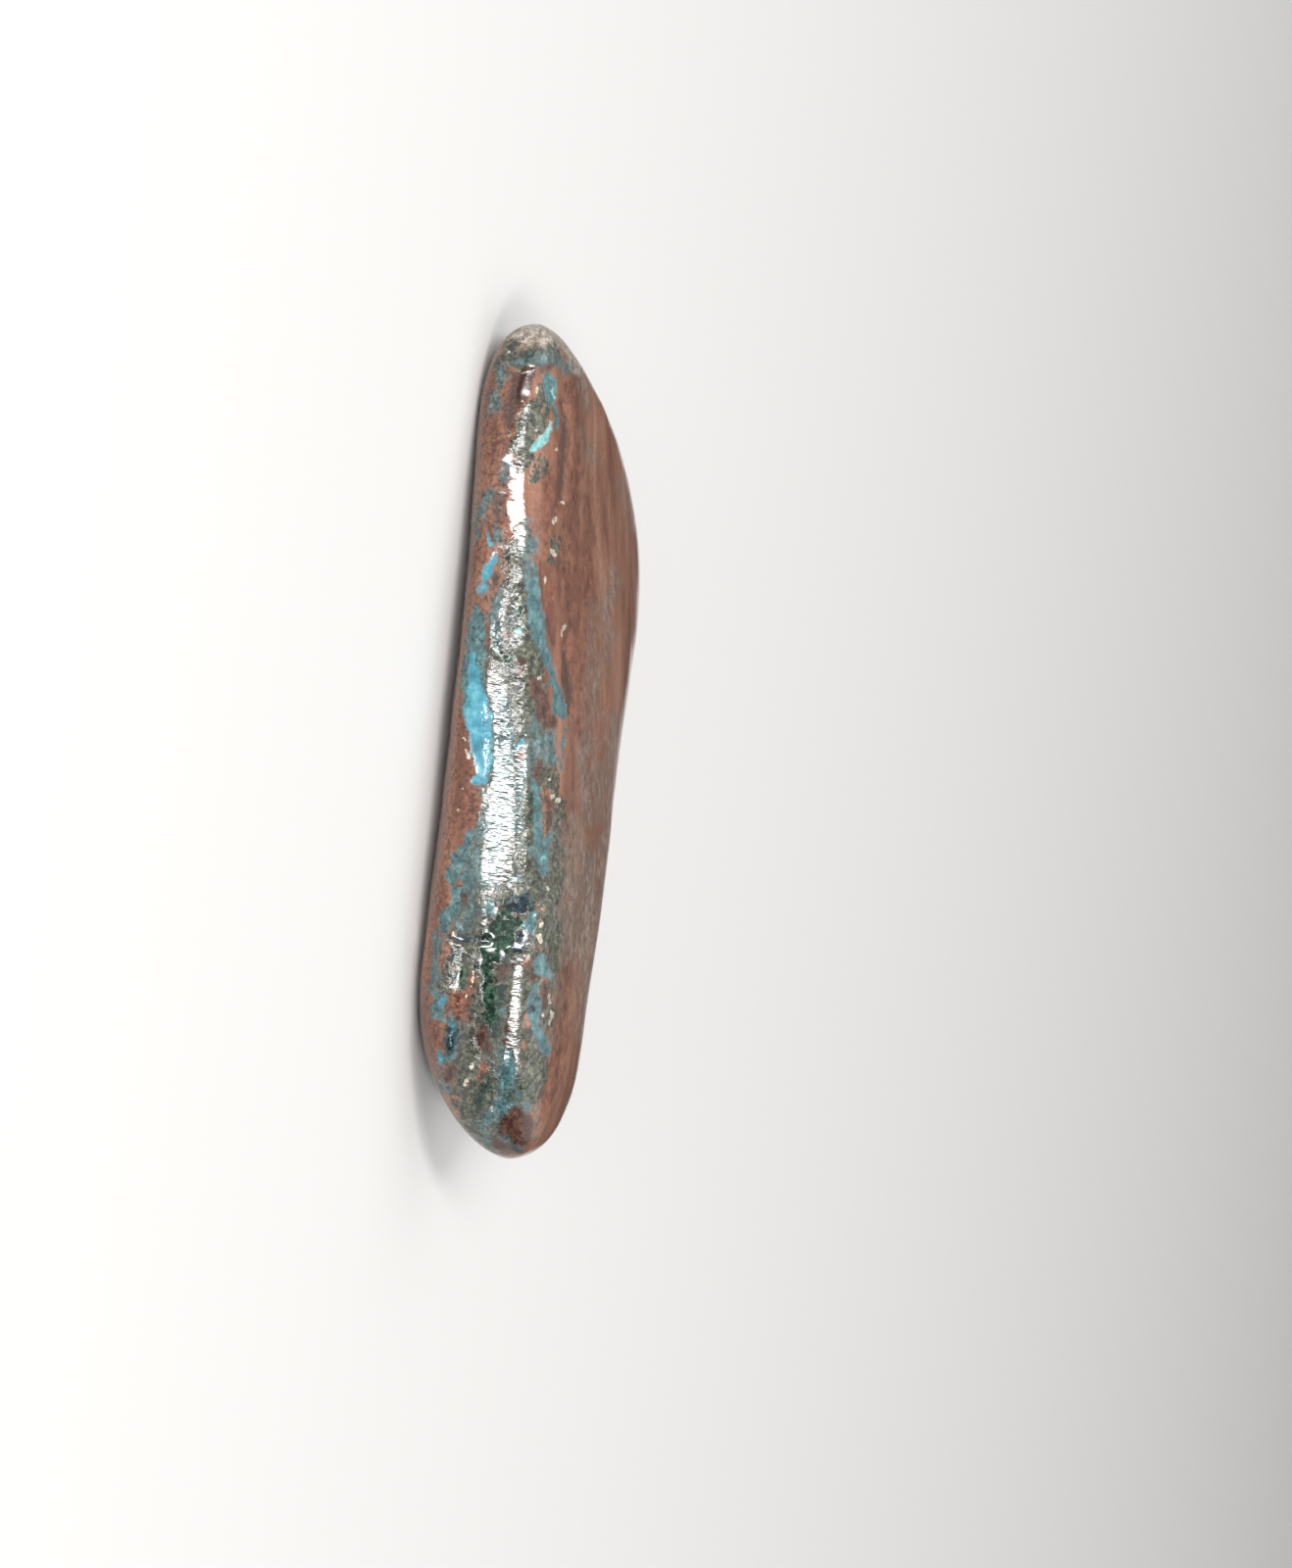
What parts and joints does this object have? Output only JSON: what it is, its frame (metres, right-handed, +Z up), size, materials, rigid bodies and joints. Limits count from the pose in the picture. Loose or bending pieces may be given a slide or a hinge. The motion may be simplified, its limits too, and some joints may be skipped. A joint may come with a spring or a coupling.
{
  "type": "tumbled cuprite stone",
  "caption": "Flat tumbled pebble of red-brown cuprite with turquoise chrysocolla patches, thin and broad at one end, thick and narrow at the other, lying on its broad face.",
  "frame": {"origin": "under the middle of the stone, on the surface that it lies on", "axes": "+X along the stone from its thin, broad end to its thick, narrow end; -Y faces the worn narrow side that carries the turquoise patches; +Z up, out of the upper broad face"},
  "size_m": [0.048, 0.0256, 0.0081],
  "materials": {
    "cuprite": "tumble polish over red-brown cuprite, mottled with turquoise chrysocolla and dark green malachite, finely pitted"
  },
  "bodies": {
    "root": {"stone": "cuprite"}
  },
  "joints": []
}
